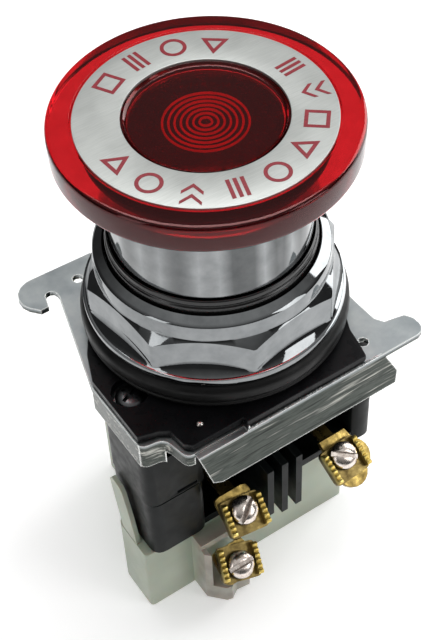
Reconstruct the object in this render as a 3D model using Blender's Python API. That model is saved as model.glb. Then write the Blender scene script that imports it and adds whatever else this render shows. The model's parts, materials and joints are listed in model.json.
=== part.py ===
"""Illuminated push-pull emergency stop operator with light unit and contact block.

All driving dimensions are in millimetres. The axis of the operator is Z, +Z points to the
mushroom head, and z = 0 is the panel face that the retaining nut tightens on to.
"""

import math

import bmesh
import bpy
from mathutils import Matrix, Vector
from mathutils.geometry import tessellate_polygon

MM = 0.001

# ---- driving dimensions, mm -------------------------------------------------------------
GAP = 0.3                    # air left between neighbouring meshes
TRAVEL = 5.8                 # push travel of the head

HEAD_R = 22.25               # mushroom lens
HEAD_TOP = 34.6
HEAD_BOTTOM = 30.1
WINDOW_SINK = 0.2            # the window lies this much below the head's top
WINDOW_T = 1.7
RING_IN = 11.8               # legend ring
RING_OUT = 18.5
RING_T = 0.5
STEM_R = 13.4                # hub under the lens
STEM_BOTTOM = 27.6
STEM_IN = 11.2
DIFFUSER_T = 1.2
SEAL_R = 18.0                # flat rubber washer between lens and skirt
SEAL_T = 0.9

SKIRT_R = 15.35              # chrome skirt
SKIRT_IN = 13.85
SKIRT_BOTTOM = 11.3

NECK_R = 13.3                # bushing neck, inside the skirt
NECK_TOP = 18.9
THREAD_R = 14.95
THREAD_TOP = 4.6
WIPER_TOP = 13.5
BORE_R = 10.1
BUSHING_FOOT_R = THREAD_R + 1.6
BUSHING_FOOT_T = 1.5
TUBE_R = 9.8                 # actuator tube
TUBE_IN = 8.2
TUBE_BOTTOM = -12.0
CLIP_GROOVE = (0.7, 1.7)     # the clip's groove, up from the tube's lower end
CLIP_GROOVE_DEPTH = 0.8
CLIP_T = 0.5
CLIP_R = 11.4

COLLAR_R = 18.1              # retaining nut
COLLAR_IN = 16.4
COLLAR_TOP = 11.3            # inner edge of the sloping rim
COLLAR_RIM = 10.4            # outer edge of the rim
COLLAR_FOOT = 7.6
NUT_CORNER_R = 19.86
NUT_CORNER_TOP = 6.2
NUT_SIDES = 8
NUT_PHASE = math.radians(29.2)
FLANGE_R = 20.4
FLANGE_T = 1.3

GASKET_R = 21.1
GASKET_BOTTOM = -4.6
PLATE_TOP = -6.5             # latch plate
PLATE_T = 1.0
PLATE_LEFT = -24.0
BEND_R = 1.3
LIP_BOTTOM = -11.7
LIP_SHORT = -9.1             # the lip is shorter beyond the corner
STRIP_DROP = 7.5             # height of the front and back flanges
STRIP_LEAN = 0.9             # they lean outward by this much over that height

BLACK_TOP = -9.7             # light unit
BLACK_SEAM = -23.15
BLACK_BOTTOM = -36.6
CLEAR_TOP = -36.9            # contact block
CLEAR_BOTTOM = -52.7

HOUSING_X = 23.6             # half length of the black housings
EAR_X = 13.2                 # the screw ears reach from here to the ends
EAR_Y = 3.4
FRONT_Y = 16.0
COVER_GROW = 0.2             # the cover overhangs the base at both ends
COVER_BAY_Y = 13.4           # face of the cover above the clamps
BASE_BAY_Y = 9.0             # face of the base behind the clamps
CAVITY_X = (-11.8, 14.5)     # room for transformer and lamp
CAVITY_Y = 7.5
BAY_FLOOR_T = 1.6
FIN_T = 1.2                  # barrier fins between the two clamps
FIN_FRONT = -20.8
FINS = ((-4.1, 1.2), (-1.3, 0.0), (1.5, 0.0))     # (x, height of its foot above the floor)
CORNER_R = 2.2               # rounding of the housings' upright corners
CLEAR_X = 25.0               # contact block plan
CLEAR_Y = 14.9
CLEAR_STEP = (15.5, 3.9)
CLEAR_CHAMFER = 2.8
CLEAR_FLOOR = 1.2            # thickness below the contact cavity
ARM_T = 0.8                  # latch arms beside the ears
EAR_SCREW = (-20.2, -7.0)
EAR_SCREW_R = 1.5
EAR_HEAD_R = 2.6
EAR_POCKET_R = 2.9
EAR_BOSS_R = 2.6
HOLE_R = 1.9                 # clearance holes for the ear screws and the clamp screws

CLAMP_TILT = math.radians(35)
CLAMP_TURNS = {"x1": -7, "x2": 4, "front": -15, "back": -15}        # degrees
SADDLE_SHIFTS = {"x1": -0.7, "x2": -0.9, "front": 0.4, "back": 0.4}  # along the slope
LIGHT_CLAMPS = {"x1": (-9.5, -20.3, -30.0), "x2": (10.1, -20.8, -30.3)}
CONTACT_CLAMP = (-11.0, -21.0, -44.2)
CONTACT_TOP = -40.8          # top of the fixed contacts' tongues
BRIDGE_TOP = -41.9
BRIDGE_T = 0.8
SPRING_R = 3.4
SPRING_WIRE = 0.3            # half the wire's thickness
SPRING_TURNS = 4.5
SADDLE_X = 3.5               # half width of a clamp saddle
SADDLE_Y = 3.1               # half depth
STRIP_X = 3.2                # a terminal strip's half width
STRIP_FRONTS = {"x1": -3.7, "x2": -3.0, "front": -2.5, "back": -2.5}
STRIP_BACK = 3.7             # the flat part ends this far up the slope
LOBE_R = 2.9                 # x2's strip shows a round end and a round side
LOBE_SIDE = (2.6, -1.1)


# ---- materials --------------------------------------------------------------------------
def material(name, colour, roughness, metallic=0.0, transmission=0.0):
    mat = bpy.data.materials.new(name)
    mat.use_nodes = True
    shader = mat.node_tree.nodes["Principled BSDF"]
    shader.inputs["Base Color"].default_value = (*colour, 1.0)
    shader.inputs["Roughness"].default_value = roughness
    shader.inputs["Metallic"].default_value = metallic
    shader.inputs["Transmission Weight"].default_value = transmission
    mat.diffuse_color = (*colour, 1.0)
    return mat


# ---- mesh helpers -----------------------------------------------------------------------
def add_object(name, verts, faces, mat, sharp=30):
    """A smooth-shaded object from vertices in millimetres, with its faces turned outward."""
    bm = bmesh.new()
    points = [bm.verts.new(Vector(v) * MM) for v in verts]
    for face in faces:
        bm.faces.new([points[i] for i in face])
    bmesh.ops.recalc_face_normals(bm, faces=bm.faces)
    mesh = bpy.data.meshes.new(name)
    bm.to_mesh(mesh)
    bm.free()
    mesh.materials.append(mat)
    mesh.shade_smooth()
    mesh.set_sharp_from_angle(angle=math.radians(sharp))
    obj = bpy.data.objects.new(name, mesh)
    bpy.context.scene.collection.objects.link(obj)
    return obj


def lathe(name, profile, mat, segments=48, phase=0.0):
    """Turn a closed (radius, z) profile round Z. A point on the axis is a single vertex."""
    verts, rings = [], []
    for radius, z in profile:
        if radius == 0:
            rings.append([len(verts)] * segments)
            verts.append((0, 0, z))
            continue
        rings.append(list(range(len(verts), len(verts) + segments)))
        for i in range(segments):
            a = phase + math.tau * i / segments
            verts.append((radius * math.cos(a), radius * math.sin(a), z))
    faces = []
    for one, two in zip(rings, rings[1:] + rings[:1]):
        if one[0] == one[1] and two[0] == two[1]:
            continue
        for i in range(segments):
            j = (i + 1) % segments
            corners = [one[i], one[j], two[j], two[i]]
            faces.append(list(dict.fromkeys(corners)))
    return add_object(name, verts, faces, mat)


def prism(name, outline, low, high, mat, holes=(), sharp=30):
    """Extrude an (x, y) outline with holes from z = low to z = high."""
    loops = [list(outline)] + [list(h) for h in holes]
    flat = [p for loop in loops for p in loop]
    caps = tessellate_polygon([[Vector((x, y, 0)) for x, y in loop] for loop in loops])
    n = len(flat)
    verts = [(x, y, low) for x, y in flat] + [(x, y, high) for x, y in flat]
    faces = [tri for tri in caps] + [[i + n for i in reversed(tri)] for tri in caps]
    start = 0
    for loop in loops:
        m = len(loop)
        for i in range(m):
            a, b = start + i, start + (i + 1) % m
            faces.append([a, b, b + n, a + n])
        start += m
    return add_object(name, verts, faces, mat, sharp)


def box(name, low, high, mat):
    outline = [(low[0], low[1]), (high[0], low[1]), (high[0], high[1]), (low[0], high[1])]
    return prism(name, outline, low[2], high[2], mat)


def circle(radius, centre=(0.0, 0.0), count=24):
    steps = [math.tau * i / count for i in range(count)]
    return [(centre[0] + radius * math.cos(a), centre[1] + radius * math.sin(a)) for a in steps]


def arc(radius, start, end, count, centre=(0.0, 0.0)):
    """Points on a circle from start to end degrees, both ends included."""
    steps = [math.radians(start + (end - start) * i / (count - 1)) for i in range(count)]
    return [(centre[0] + radius * math.cos(a), centre[1] + radius * math.sin(a)) for a in steps]


def rounded(points, radius, steps=3):
    """Replace each corner of an outline by an arc-like curve of the given setback."""
    result = []
    count = len(points)
    for i, point in enumerate(points):
        corner = Vector(point)
        before = Vector(points[i - 1]) - corner
        after = Vector(points[(i + 1) % count]) - corner
        reach = min(radius, before.length * 0.45, after.length * 0.45)
        first = corner + before.normalized() * reach
        last = corner + after.normalized() * reach
        for k in range(steps + 1):
            t = k / steps
            spot = first * (1 - t) ** 2 + corner * 2 * t * (1 - t) + last * t ** 2
            result.append((spot.x, spot.y))
    return result


def half_turn(points):
    """The same outline turned by 180 degrees about the operator's axis."""
    return [(-x, -y) for x, y in points]


def combine(target, tool, operation):
    """Join, cut or intersect target with a tool object, which is then only a guide."""
    tool.hide_render = True
    tool.display_type = "WIRE"
    modifier = target.modifiers.new(operation.lower(), "BOOLEAN")
    modifier.operation = operation
    modifier.solver = "EXACT"
    modifier.object = tool
    return target


def join(target, *tools):
    for tool in tools:
        combine(target, tool, "UNION")
    return target


def cut(target, *tools):
    for tool in tools:
        combine(target, tool, "DIFFERENCE")
    return target


# ---- the moving head --------------------------------------------------------------------
def make_head(mats):
    window_top = HEAD_TOP - WINDOW_SINK
    window_bottom = window_top - WINDOW_T
    ring_floor = HEAD_TOP - RING_T - GAP
    lens = [
        (0, window_top), (RING_IN - 0.3, window_top), (RING_IN - 0.3, ring_floor),
        (RING_OUT + 0.3, ring_floor), (RING_OUT + 0.3, HEAD_TOP), (HEAD_R - 1.5, HEAD_TOP),
        (HEAD_R - 0.5, HEAD_TOP - 0.25), (HEAD_R, HEAD_TOP - 0.85), (HEAD_R, HEAD_BOTTOM + 0.5),
        (HEAD_R - 0.4, HEAD_BOTTOM), (STEM_R, HEAD_BOTTOM), (STEM_R, STEM_BOTTOM),
        (STEM_IN, STEM_BOTTOM), (STEM_IN, window_bottom), (0, window_bottom),
    ]
    lathe("mushroom_lens", lens, mats["red_lens"], 64)
    ring_top = HEAD_TOP
    ring = [(RING_OUT, ring_top), (RING_OUT, ring_top - RING_T),
            (RING_IN, ring_top - RING_T), (RING_IN, ring_top)]
    lathe("legend_ring", ring, mats["satin_silver"], 64)

    diffuser_top = window_bottom - GAP
    diffuser_bottom = diffuser_top - DIFFUSER_T
    diffuser_r = STEM_IN - GAP
    diffuser = [(0, diffuser_top), (diffuser_r, diffuser_top), (diffuser_r, diffuser_bottom),
                (0, diffuser_bottom)]
    lathe("light_diffuser", diffuser, mats["dark_red"], 32)

    seal_top = HEAD_BOTTOM - GAP
    seal_bottom = seal_top - SEAL_T
    seal = [(SEAL_R - 0.25, seal_top), (SEAL_R, seal_top - 0.25), (SEAL_R, seal_bottom + 0.25),
            (SEAL_R - 0.25, seal_bottom), (STEM_R + GAP, seal_bottom), (STEM_R + GAP, seal_top)]
    lathe("lens_seal", seal, mats["rubber"], 48)

    skirt_top = seal_bottom - GAP
    skirt = [(SKIRT_R - 0.4, skirt_top), (SKIRT_R, skirt_top - 0.4),
             (SKIRT_R, SKIRT_BOTTOM + 0.4), (SKIRT_R - 0.4, SKIRT_BOTTOM),
             (SKIRT_IN, SKIRT_BOTTOM), (SKIRT_IN, skirt_top)]
    lathe("plunger_skirt", skirt, mats["chrome"], 48)

    flange_top = STEM_BOTTOM - GAP
    flange_bottom = NECK_TOP + TRAVEL + 0.4
    groove_low, groove_high = (TUBE_BOTTOM + up for up in CLIP_GROOVE)
    groove_r = TUBE_R - CLIP_GROOVE_DEPTH
    actuator = [(SKIRT_IN - GAP, flange_top), (SKIRT_IN - GAP, flange_bottom),
                (TUBE_R, flange_bottom), (TUBE_R, groove_high), (groove_r, groove_high),
                (groove_r, groove_low), (TUBE_R, groove_low), (TUBE_R, TUBE_BOTTOM),
                (TUBE_IN, TUBE_BOTTOM), (TUBE_IN, flange_top)]
    lathe("actuator_tube", actuator, mats["white_nylon"], 28)
    clip_low = (groove_low + groove_high - CLIP_T) / 2
    prism("retaining_clip", snap_ring(groove_r + GAP, CLIP_R), clip_low, clip_low + CLIP_T,
          mats["spring_steel"])


def snap_ring(inner, outer):
    """The outline of an open ring, with its gap towards +X."""
    opening = 25
    return (arc(outer, opening, 360 - opening, 19)
            + arc(inner, 360 - opening, opening, 19))


# ---- bushing, seals and nut -------------------------------------------------------------
def make_bushing(mats):
    flange_top = PLATE_TOP - PLATE_T - GAP
    foot = flange_top - BUSHING_FOOT_T
    bushing = [(NECK_R - 0.3, NECK_TOP), (NECK_R, NECK_TOP - 0.3), (NECK_R, THREAD_TOP + 0.4),
               (THREAD_R - 0.4, THREAD_TOP), (THREAD_R, THREAD_TOP - 0.4),
               (THREAD_R, flange_top), (BUSHING_FOOT_R, flange_top), (BUSHING_FOOT_R, foot),
               (BORE_R, foot), (BORE_R, NECK_TOP)]
    lathe("operator_bushing", bushing, mats["zinc_casting"], 36)

    seat = THREAD_TOP + 0.7
    outer, inner = COLLAR_IN - GAP, SKIRT_R + GAP
    wiper = [(outer, COLLAR_TOP), (outer, seat), (inner, seat), (inner, WIPER_TOP),
             (inner + 0.2, WIPER_TOP), (outer, COLLAR_TOP + 0.9)]
    lathe("wiper_seal", wiper, mats["rubber"], 48)


def make_nut(mats):
    bore = THREAD_R + GAP
    body = [(COLLAR_R - 0.4, COLLAR_RIM + 0.2), (COLLAR_R, COLLAR_RIM - 0.2), (COLLAR_R, FLANGE_T),
            (FLANGE_R - 0.3, FLANGE_T), (FLANGE_R, FLANGE_T - 0.3), (FLANGE_R, 0.3),
            (FLANGE_R - 0.3, 0), (bore, 0), (bore, THREAD_TOP + 0.3),
            (COLLAR_IN, THREAD_TOP + 0.3), (COLLAR_IN, COLLAR_TOP - 0.2),
            (COLLAR_IN + 0.2, COLLAR_TOP)]
    nut = lathe("retaining_nut", body, mats["chrome"], 64)
    wall = COLLAR_R - 0.4
    octagon = prism("nut_octagon", octagon_outline(NUT_CORNER_R), FLANGE_T - 0.4,
                    COLLAR_FOOT + 0.6, mats["chrome"], [circle(wall, count=64)])
    cone = lathe("nut_cone", [(0, COLLAR_FOOT + 0.3), (COLLAR_R - 0.2, COLLAR_FOOT + 0.3),
                              (NUT_CORNER_R + 0.3, NUT_CORNER_TOP - 0.2),
                              (NUT_CORNER_R + 0.3, -1), (0, -1)], mats["chrome"], 64)
    combine(octagon, cone, "INTERSECT")
    join(nut, octagon)


def octagon_outline(radius):
    step = math.tau / NUT_SIDES
    return [(radius * math.cos(NUT_PHASE + step * i), radius * math.sin(NUT_PHASE + step * i))
            for i in range(NUT_SIDES)]


def make_gasket(mats):
    inner = THREAD_R + GAP
    top, bottom = -GAP, GASKET_BOTTOM
    gasket = [(GASKET_R - 1.2, top), (GASKET_R - 0.3, top - 0.4), (GASKET_R, top - 1.2),
              (GASKET_R, bottom + 1.1), (GASKET_R - 0.4, bottom + 0.3),
              (GASKET_R - 1.2, bottom), (inner, bottom), (inner, top)]
    lathe("panel_gasket", gasket, mats["rubber"], 48)


# ---- operator base and latch plate ------------------------------------------------------
def lip_path():
    """The stepped front-left edge of the latch plate, with the bends rounded.

    It runs from the side lip to the front strip; the end points only steer the rounding.
    """
    steps = 4
    straight = [(PLATE_LEFT, -6.0), (PLATE_LEFT, -15.9), (-20.2, -16.4), (-19.2, -21.3),
                (-9.2, -21.3)]
    return rounded(straight, BEND_R, steps)[steps + 1:-steps - 1]


def make_base(mats):
    top, bottom = GASKET_BOTTOM - GAP, PLATE_TOP + GAP
    front = [(-23.8, -14.9), (-20.6, -15.8), (-19.3, -16.7), (-18.9, -19.9), (-17.9, -20.9),
             (-9.0, -20.9), (-9.0, -21.9), (13.0, -22.0), (13.6, -19.6), (14.2, -16.4)]
    outline = front + arc(20.3, -38, 158, 20) + [(-21.8, 3.0), (-23.8, -2.0)]
    holes = [circle(THREAD_R + GAP, count=40)]
    holes += [circle(EAR_POCKET_R, EAR_SCREW, 14)]
    base = prism("operator_base", outline, bottom, top, mats["black_plastic"], holes)
    back_screw = (-EAR_SCREW[0], -EAR_SCREW[1])
    pocket = prism("base_pocket", circle(EAR_POCKET_R, back_screw, 14), bottom - 1, top + 1,
                   mats["black_plastic"])
    cut(base, pocket)


def make_plate(mats):
    steel = mats["zinc_steel"]
    low = PLATE_TOP - PLATE_T
    front = lip_path() + [(-9.2, -21.3), (-9.2, -22.3), (16.3, -22.4), (22.9, -22.4)]
    right_arm = (arc(1.8, -80, 0, 4, (22.9, -20.6)) + [(24.6, -19.2), (23.8, -17.9)]
                 + [(22.0, -17.5), (20.4, -17.2), (19.5, -15.8), (19.3, -11.0)])
    back = [(19.3, 2.0), (22.6, 4.0), (23.3, 8.0), (21.5, 14.0), (16.0, 21.5), (-8.2, 21.5),
            (-9.8, 22.9)]
    left_arm = ([(-20.8, 23.3)] + arc(3.4, 100, 215, 6, (-21.1, 19.9))
                + [(-22.6, 16.4), (-21.2, 16.4)] + arc(1.0, 190, 0, 6, (-19.7, 18.2))
                + [(-18.7, 17.4), (-24.0, -1.6)])
    holes = [circle(THREAD_R + GAP, count=40)]
    holes += [circle(0.9, spot, 8) for spot in ((15.1, -18.6), (-14.3, 19.0))]
    holes += [circle(HOLE_R, (side * EAR_SCREW[0], side * EAR_SCREW[1]), 12)
              for side in (1, -1)]
    plate = prism("latch_plate", front + right_arm + back + left_arm, low, PLATE_TOP, steel,
                  holes)
    inside = [(-18.2, -20.2), (-18.35, -19.7), (-18.8, -16.3), (-20.5, -15.2), (-23.0, -14.5)]
    lip = prism("corner_lip", lip_path() + inside, LIP_BOTTOM, PLATE_TOP - 0.2, steel)
    cut(lip, box("lip_notch", (-20.3, -24, LIP_BOTTOM - 1), (-17.5, -14, LIP_SHORT), steel))
    side = box("side_lip", (PLATE_LEFT, -15.3, LIP_BOTTOM),
               (PLATE_LEFT + PLATE_T, -1.8, PLATE_TOP - 0.2), steel)
    join(plate, lip, side, front_strip(steel), back_strip(steel))


def front_strip(mat):
    """The long front flange, which leans outward as it comes down."""
    shape = [(-18.0, 0.0), (16.3, 0.0), (18.8, -5.0), (18.4, -STRIP_DROP),
             (-14.6, -STRIP_DROP), (-16.2, -6.6)]
    return leaning_flange("front_strip", shape, -22.35, STRIP_LEAN, mat)


def back_strip(mat):
    shape = [(-8.0, 0.0), (15.0, 0.0), (15.6, -6.6), (14.6, -STRIP_DROP), (-8.0, -STRIP_DROP)]
    return leaning_flange("back_strip", shape, 21.45, -STRIP_LEAN, mat)


def leaning_flange(name, shape, y, lean, mat):
    """An (x, drop) outline as a plate whose outer face starts at y below the plate's top."""
    thick = PLATE_T if lean > 0 else -PLATE_T
    flat = [(x, y + lean * drop / STRIP_DROP, PLATE_TOP - 0.15 + drop) for x, drop in shape]
    count = len(flat)
    verts = flat + [(x, py + thick, z) for x, py, z in flat]
    caps = tessellate_polygon([[Vector((x, drop, 0)) for x, drop in shape]])
    faces = list(caps) + [[i + count for i in reversed(tri)] for tri in caps]
    faces += [[i, (i + 1) % count, (i + 1) % count + count, i + count] for i in range(count)]
    return add_object(name, verts, faces, mat)


def make_ear_screws(mats):
    """Two long screws through opposite ears hold plate, light unit and contact block."""
    length_end = CLEAR_BOTTOM + 4.0
    for name, side in (("ear_screw_front", 1), ("ear_screw_back", -1)):
        head_top = GASKET_BOTTOM - GAP
        seat = PLATE_TOP + 0.05
        profile = [(0, head_top), (EAR_HEAD_R - 0.4, head_top), (EAR_HEAD_R, head_top - 0.4),
                   (EAR_HEAD_R, seat), (EAR_SCREW_R, seat), (EAR_SCREW_R, length_end),
                   (0, length_end)]
        screw = lathe(name, profile, mats["zinc_steel"], 16)
        x, y = side * EAR_SCREW[0], side * EAR_SCREW[1]
        screw.location = (x * MM, y * MM, 0)
        slot = box(name + "_slot", (-3, -0.4, head_top - 0.6), (3, 0.4, head_top + 1),
                   mats["zinc_steel"])
        slot.location = screw.location
        slot.rotation_euler = (0, 0, math.radians(35))
        cut(screw, slot)


# ---- light unit -------------------------------------------------------------------------
def black_outline(bay, grow=0.0):
    """Plan of the black housings: two screw ears on a diagonal, bay walls at y = -bay and bay."""
    end, front = HOUSING_X + grow, FRONT_Y
    return [(-end, -front), (-EAR_X, -front), (-EAR_X, -bay), (16.5, -bay), (16.5, -front),
            (20.5, -front), (20.5, EAR_Y), (end, EAR_Y), (end, front), (EAR_X, front),
            (EAR_X, bay), (-EAR_X, bay), (-EAR_X, -EAR_Y), (-end, -EAR_Y)]


def ear_cylinder(name, side, radius, low, high, mat):
    """A cylinder round one ear screw; side is 1 for the front-left ear and -1 for its twin."""
    centre = (side * EAR_SCREW[0], side * EAR_SCREW[1])
    return prism(name, circle(radius, centre, 16), low, high, mat)


def make_light_housings(mats):
    black = mats["phenolic"]
    cover = prism("light_unit_cover", rounded(black_outline(COVER_BAY_Y, COVER_GROW), CORNER_R, 5),
                  BLACK_SEAM + 0.15, BLACK_TOP, black)
    bosses = [ear_cylinder(f"ear_boss_{i}", side, EAR_BOSS_R, BLACK_TOP - 3,
                           PLATE_TOP - PLATE_T - GAP, black)
              for i, side in enumerate((1, -1))]
    left, right = CAVITY_X
    cavity = box("cover_cavity", (left, -CAVITY_Y, BLACK_SEAM - 1), (right, CAVITY_Y, -17.0),
                 black)
    throat = lathe("cover_throat", [(0, 0), (11.8, 0), (11.8, -21.0), (0, -21.0)], black, 32)
    relief = LIP_BOTTOM - 0.35
    cut(cover, cavity, throat, box("side_relief", (-30, -30, relief), (-22.7, 0, 0), black),
        box("corner_relief", (-30, -30, relief), (-12, -14.1, 0), black))
    join(cover, *bosses)
    cut(cover, *[ear_cylinder(f"cover_hole_{i}", side, HOLE_R, BLACK_BOTTOM, 0, black)
                 for i, side in enumerate((1, -1))])

    base = prism("light_unit_base", rounded(black_outline(BASE_BAY_Y), CORNER_R, 5), BLACK_BOTTOM,
                 BLACK_SEAM - 0.15, black)
    floor_plan = [(-14.5, -15.2), (17.5, -15.2), (17.5, -8.0), (-14.5, -8.0)]
    shelf = prism("bay_floor", rounded(floor_plan, 0.5, 2), BLACK_BOTTOM,
                  BLACK_BOTTOM + BAY_FLOOR_T, black)
    fins = [box(f"barrier_fin_{i}", (x - FIN_T / 2, FIN_FRONT, BLACK_BOTTOM + lift),
                (x + FIN_T / 2, -8.0, BLACK_SEAM - 0.15), black)
            for i, (x, lift) in enumerate(FINS)]
    web = box("barrier_web", (-4.4, -13.0, BLACK_BOTTOM + 0.2), (1.8, -8.0, BLACK_SEAM - 0.5),
              black)
    join(base, shelf, web, *fins)
    left, right = CAVITY_X
    cavity = box("base_cavity", (left, -CAVITY_Y, BLACK_BOTTOM + 1.2),
                 (right, CAVITY_Y, BLACK_SEAM + 1), black)
    slot = box("pusher_slot", (-11.3, -3.6, BLACK_BOTTOM - 1), (11.3, 3.6, BLACK_BOTTOM + 3),
               black)
    cut(base, cavity, slot)
    cut(base, *[ear_cylinder(f"base_hole_{i}", side, HOLE_R, BLACK_BOTTOM - 1, 0, black)
                for i, side in enumerate((1, -1))])
    for i, (x, _, z) in enumerate(LIGHT_CLAMPS.values()):
        window = box(f"lead_window_{i}", (x - 1.6, -10, z - 0.4), (x + 1.6, -7, z + 1.2), black)
        cut(base, window)


def make_transformer(mats):
    low, high = BLACK_BOTTOM + 1.5, BLACK_SEAM + 2.8
    frame = [(-8.4, low), (8.4, low), (8.4, high), (-8.4, high)]
    windows = [[(s * 2.4, low + 2.8), (s * 6.2, low + 2.8), (s * 6.2, high - 2.8),
                (s * 2.4, high - 2.8)] for s in (-1, 1)]
    core = prism("transformer_core", frame, -3.0, 3.0, mats["lamination"], windows)
    core.rotation_euler = (math.radians(90), 0, 0)
    inner, outer = 2.7, 5.9
    coil_low, coil_high = low + 3.1, high - 3.1
    wound = rounded([(-outer, -6.4), (outer, -6.4), (outer, 6.4), (-outer, 6.4)], 2.2)
    hollow = [(-inner, -3.3), (inner, -3.3), (inner, 3.3), (-inner, 3.3)]
    prism("transformer_coil", wound, coil_low, coil_high, mats["copper_winding"], [hollow])


def make_lamp(mats):
    foot = BLACK_SEAM + 3.1
    socket = [(6.0, -5.0), (6.0, foot), (0, foot), (0, foot + 1.2), (4.9, foot + 1.2),
              (4.9, -5.0)]
    lathe("lamp_socket", socket, mats["brass"], 24)
    cap_low = foot + 1.5
    cap = [(0, -3.6), (4.5, -3.6), (4.5, cap_low + 1.2), (2.4, cap_low), (0, cap_low)]
    lathe("lamp_cap", cap, mats["brass"], 24)
    bulb_low = -3.3
    bulb = [(0, 12.0), (2.2, 11.5), (3.9, 10.2), (4.9, 8.0), (5.1, 5.5), (4.9, 1.5),
            (4.3, bulb_low), (0, bulb_low)]
    lathe("lamp_bulb", bulb, mats["clear_glass"], 24)


# ---- wire clamps ------------------------------------------------------------------------
def clamp_matrix(place, flip=False):
    """The terminal's own frame: local -Y runs down the slope. flip gives its half-turn twin."""
    frame = Matrix.Translation(Vector(place) * MM) @ Matrix.Rotation(CLAMP_TILT, 4, "X")
    return Matrix.Rotation(math.pi, 4, "Z") @ frame if flip else frame


def make_clamp(tag, frame, mats):
    """A saddle with turned-up sides and its screw, both swung a little on the terminal."""
    frame = frame @ Matrix.Rotation(math.radians(CLAMP_TURNS[tag]), 4, "Z")
    x, low, high = SADDLE_X, SADDLE_SHIFTS[tag] - SADDLE_Y, SADDLE_SHIFTS[tag] + SADDLE_Y
    plan = rounded([(-x, low), (x, low), (x, high), (-x, high)], 0.8, 2)
    saddle = prism(f"saddle_{tag}", plan, -0.5, 0.5, mats["brass"], [circle(HOLE_R, count=12)])
    for k, inner in enumerate((-x, x - 0.9)):
        wing = box(f"saddle_{tag}_wing_{k}", (inner, low + 0.4, 0.3),
                   (inner + 0.9, high - 0.4, 1.9), mats["brass"])
        wing.matrix_world = frame
        join(saddle, wing)
    saddle.matrix_world = frame
    head = [(0, 2.7), (1.5, 2.6), (2.2, 2.1), (2.4, 1.3), (2.4, 0.8), (1.6, 0.8), (1.6, -3.0),
            (0, -3.0)]
    screw = lathe(f"clamp_screw_{tag}", head, mats["bright_steel"], 20)
    slot = box(f"clamp_slot_{tag}", (-0.4, -3, 1.7), (0.4, 3, 4), mats["bright_steel"])
    cut(screw, slot)
    for obj in (screw, slot):
        obj.matrix_world = frame


def strip_outline(tag):
    """Plan of a terminal strip. x2's is cut round, with an ear on its right."""
    front = STRIP_FRONTS[tag]
    if tag == "x2":
        end = arc(LOBE_R, -180, -22, 9, (LOBE_SIDE[0] - 1.7, front))
        ear = arc(LOBE_R, -74, 66, 9, LOBE_SIDE)
        return end + ear + [(STRIP_X, STRIP_BACK), (end[0][0], STRIP_BACK)]
    return rounded([(-STRIP_X, front), (STRIP_X, front), (STRIP_X, STRIP_BACK),
                    (-STRIP_X, STRIP_BACK)], 1.0, 2)


def terminal_plate(name, tag, frame, mats):
    """The flat of a terminal strip under its saddle."""
    strip = prism(name, strip_outline(tag), -1.8, -0.8, mats["brass"],
                  [circle(HOLE_R, count=12)])
    strip.matrix_world = frame
    return strip


def make_terminals(mats):
    """The light unit's two terminals, each with a lead that enters the housing."""
    for tag, place in LIGHT_CLAMPS.items():
        frame = clamp_matrix(place)
        make_clamp(tag, frame, mats)
        strip = terminal_plate(f"terminal_strip_{tag}", tag, frame, mats)
        x, y, z = place
        tail = box(f"strip_{tag}_tail", (x - 1.3, y + 2.7, z - 0.1), (x + 1.3, -7.0, z + 0.9),
                   mats["brass"])
        join(strip, tail)


# ---- contact block ----------------------------------------------------------------------
def clear_outline():
    """Two opposite ends reach past the housings, each with a chamfered inner corner."""
    step_x, step_y = CLEAR_STEP
    half = [(-CLEAR_X, -CLEAR_Y), (step_x, -CLEAR_Y), (step_x, step_y),
            (CLEAR_X - CLEAR_CHAMFER, step_y), (CLEAR_X, step_y + CLEAR_CHAMFER)]
    return half + half_turn(half)


def ledge_outline():
    """Plan of the shelf below a contact clamp, with its cut front corner."""
    return [(-16.3, -14.0), (-16.3, -18.9), (-13.9, -21.5), (-12.9, -21.8), (-11.4, -20.8),
            (-9.0, -21.1), (-8.2, -20.2), (-8.2, -14.0)]


def make_contact_block(mats):
    clear = mats["clear_plastic"]
    block = prism("contact_block", rounded(clear_outline(), 0.8, 4), CLEAR_BOTTOM, CLEAR_TOP,
                  clear)
    shapes = [
        ("ledge", ledge_outline(), CLEAR_BOTTOM + 0.4, -48.4),
        ("post", [(-16.3, -18.9), (-15.4, -19.8), (-15.4, -14.0), (-16.3, -14.0)], -48.6, -39.0),
        ("roof", [(-16.3, -18.0), (-7.4, -18.0), (-7.4, -14.0), (-16.3, -14.0)], -39.2,
         CLEAR_TOP - 0.9),
    ]
    for tag, turned in (("front", False), ("back", True)):
        for label, outline, low, high in shapes:
            points = half_turn(outline) if turned else outline
            join(block, prism(f"{label}_{tag}", points, low, high, clear))
        join(block, latch_arm(tag, turned, clear))
    cavity = box("contact_cavity", (-12.0, -9.0, CLEAR_BOTTOM + CLEAR_FLOOR), (12.0, 9.0, 0),
                 clear)
    cut(block, cavity)
    cut(block, *[ear_cylinder(f"clear_hole_{i}", side, HOLE_R, CLEAR_BOTTOM + 3, 0, clear)
                 for i, side in enumerate((1, -1))])
    for tag, turned in (("front", False), ("back", True)):
        notch = [(-9.4, -16), (-6.6, -16), (-6.6, -8), (-9.4, -8)]
        points = half_turn(notch) if turned else notch
        cut(block, prism(f"strip_notch_{tag}", points, -42.4, 0, clear))


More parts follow.
